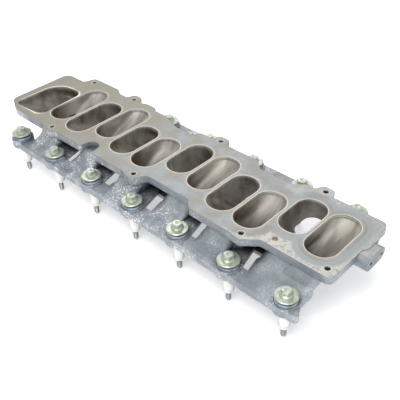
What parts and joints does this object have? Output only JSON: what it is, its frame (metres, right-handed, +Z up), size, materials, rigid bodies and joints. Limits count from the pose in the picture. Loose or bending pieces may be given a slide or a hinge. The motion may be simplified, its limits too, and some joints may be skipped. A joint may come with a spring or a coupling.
{
  "type": "intake_manifold",
  "caption": "Cast aluminium intake manifold for a V engine with crossing runners, rubber-isolated flange bolts and captive spacer sleeves",
  "frame": {"origin": "centre of the top flange's upper face, between the two bolt rows", "axes": "+X along the engine towards the end boss, +Y to the far bank, +Z up out of the ports"},
  "size_m": [0.686, 0.229, 0.1025],
  "materials": {
    "cast_aluminium": "as-cast, shot blasted, with machined faces",
    "copper": "dull copper-coloured press-in plug",
    "rubber": "dark blue-grey moulded rubber",
    "cream_plastic": "cream moulded plastic",
    "zinc": "pale yellow-green zinc plate"
  },
  "bodies": {
    "manifold": {"casting": "cast_aluminium", "plug": "copper", "isolators_near": "rubber", "isolators_far": "rubber"},
    "stack_near_1": {"washer_near_1": "zinc", "sleeve_near_1": "cream_plastic"},
    "screw_near_1": {"bolt_near_1": "zinc"},
    "stack_near_2": {"washer_near_2": "zinc", "sleeve_near_2": "cream_plastic"},
    "screw_near_2": {"bolt_near_2": "zinc"},
    "stack_near_3": {"washer_near_3": "zinc", "sleeve_near_3": "cream_plastic"},
    "screw_near_3": {"bolt_near_3": "zinc"},
    "stack_near_4": {"washer_near_4": "zinc", "sleeve_near_4": "cream_plastic"},
    "screw_near_4": {"bolt_near_4": "zinc"},
    "stack_near_5": {"washer_near_5": "zinc", "sleeve_near_5": "cream_plastic"},
    "screw_near_5": {"bolt_near_5": "zinc"},
    "stack_near_6": {"washer_near_6": "zinc", "sleeve_near_6": "cream_plastic"},
    "screw_near_6": {"bolt_near_6": "zinc"},
    "stack_near_7": {"washer_near_7": "zinc", "sleeve_near_7": "cream_plastic"},
    "screw_near_7": {"bolt_near_7": "zinc"},
    "stack_far_1": {"washer_far_1": "zinc", "sleeve_far_1": "cream_plastic"},
    "screw_far_1": {"bolt_far_1": "zinc"},
    "stack_far_2": {"washer_far_2": "zinc", "sleeve_far_2": "cream_plastic"},
    "screw_far_2": {"bolt_far_2": "zinc"},
    "stack_far_3": {"washer_far_3": "zinc", "sleeve_far_3": "cream_plastic"},
    "screw_far_3": {"bolt_far_3": "zinc"},
    "stack_far_4": {"washer_far_4": "zinc", "sleeve_far_4": "cream_plastic"},
    "screw_far_4": {"bolt_far_4": "zinc"},
    "stack_far_5": {"washer_far_5": "zinc", "sleeve_far_5": "cream_plastic"},
    "screw_far_5": {"bolt_far_5": "zinc"},
    "stack_far_6": {"washer_far_6": "zinc", "sleeve_far_6": "cream_plastic"},
    "screw_far_6": {"bolt_far_6": "zinc"},
    "stack_far_7": {"washer_far_7": "zinc", "sleeve_far_7": "cream_plastic"},
    "screw_far_7": {"bolt_far_7": "zinc"}
  },
  "joints": [
    {"name": "lift_near_1", "type": "slide", "parent": "manifold", "child": "stack_near_1", "axis": [0, 0, 1], "range_m": [0, 0.031]},
    {"name": "spin_near_1", "type": "hinge", "parent": "stack_near_1", "child": "screw_near_1", "pos_m": [-0.266, -0.096, -0.025], "axis": [0, 0, 1], "continuous": true},
    {"name": "lift_near_2", "type": "slide", "parent": "manifold", "child": "stack_near_2", "axis": [0, 0, 1], "range_m": [0, 0.031]},
    {"name": "spin_near_2", "type": "hinge", "parent": "stack_near_2", "child": "screw_near_2", "pos_m": [-0.172, -0.096, -0.025], "axis": [0, 0, 1], "continuous": true},
    {"name": "lift_near_3", "type": "slide", "parent": "manifold", "child": "stack_near_3", "axis": [0, 0, 1], "range_m": [0, 0.031]},
    {"name": "spin_near_3", "type": "hinge", "parent": "stack_near_3", "child": "screw_near_3", "pos_m": [-0.078, -0.096, -0.025], "axis": [0, 0, 1], "continuous": true},
    {"name": "lift_near_4", "type": "slide", "parent": "manifold", "child": "stack_near_4", "axis": [0, 0, 1], "range_m": [0, 0.031]},
    {"name": "spin_near_4", "type": "hinge", "parent": "stack_near_4", "child": "screw_near_4", "pos_m": [0.016, -0.096, -0.025], "axis": [0, 0, 1], "continuous": true},
    {"name": "lift_near_5", "type": "slide", "parent": "manifold", "child": "stack_near_5", "axis": [0, 0, 1], "range_m": [0, 0.031]},
    {"name": "spin_near_5", "type": "hinge", "parent": "stack_near_5", "child": "screw_near_5", "pos_m": [0.11, -0.096, -0.025], "axis": [0, 0, 1], "continuous": true},
    {"name": "lift_near_6", "type": "slide", "parent": "manifold", "child": "stack_near_6", "axis": [0, 0, 1], "range_m": [0, 0.031]},
    {"name": "spin_near_6", "type": "hinge", "parent": "stack_near_6", "child": "screw_near_6", "pos_m": [0.204, -0.096, -0.025], "axis": [0, 0, 1], "continuous": true},
    {"name": "lift_near_7", "type": "slide", "parent": "manifold", "child": "stack_near_7", "axis": [0, 0, 1], "range_m": [0, 0.031]},
    {"name": "spin_near_7", "type": "hinge", "parent": "stack_near_7", "child": "screw_near_7", "pos_m": [0.298, -0.096, -0.025], "axis": [0, 0, 1], "continuous": true},
    {"name": "lift_far_1", "type": "slide", "parent": "manifold", "child": "stack_far_1", "axis": [0, 0, 1], "range_m": [0, 0.031]},
    {"name": "spin_far_1", "type": "hinge", "parent": "stack_far_1", "child": "screw_far_1", "pos_m": [-0.289, 0.096, -0.025], "axis": [0, 0, 1], "continuous": true},
    {"name": "lift_far_2", "type": "slide", "parent": "manifold", "child": "stack_far_2", "axis": [0, 0, 1], "range_m": [0, 0.031]},
    {"name": "spin_far_2", "type": "hinge", "parent": "stack_far_2", "child": "screw_far_2", "pos_m": [-0.195, 0.096, -0.025], "axis": [0, 0, 1], "continuous": true},
    {"name": "lift_far_3", "type": "slide", "parent": "manifold", "child": "stack_far_3", "axis": [0, 0, 1], "range_m": [0, 0.031]},
    {"name": "spin_far_3", "type": "hinge", "parent": "stack_far_3", "child": "screw_far_3", "pos_m": [-0.101, 0.096, -0.025], "axis": [0, 0, 1], "continuous": true},
    {"name": "lift_far_4", "type": "slide", "parent": "manifold", "child": "stack_far_4", "axis": [0, 0, 1], "range_m": [0, 0.031]},
    {"name": "spin_far_4", "type": "hinge", "parent": "stack_far_4", "child": "screw_far_4", "pos_m": [-0.007, 0.096, -0.025], "axis": [0, 0, 1], "continuous": true},
    {"name": "lift_far_5", "type": "slide", "parent": "manifold", "child": "stack_far_5", "axis": [0, 0, 1], "range_m": [0, 0.031]},
    {"name": "spin_far_5", "type": "hinge", "parent": "stack_far_5", "child": "screw_far_5", "pos_m": [0.087, 0.096, -0.025], "axis": [0, 0, 1], "continuous": true},
    {"name": "lift_far_6", "type": "slide", "parent": "manifold", "child": "stack_far_6", "axis": [0, 0, 1], "range_m": [0, 0.031]},
    {"name": "spin_far_6", "type": "hinge", "parent": "stack_far_6", "child": "screw_far_6", "pos_m": [0.181, 0.096, -0.025], "axis": [0, 0, 1], "continuous": true},
    {"name": "lift_far_7", "type": "slide", "parent": "manifold", "child": "stack_far_7", "axis": [0, 0, 1], "range_m": [0, 0.031]},
    {"name": "spin_far_7", "type": "hinge", "parent": "stack_far_7", "child": "screw_far_7", "pos_m": [0.275, 0.096, -0.025], "axis": [0, 0, 1], "continuous": true}
  ]
}
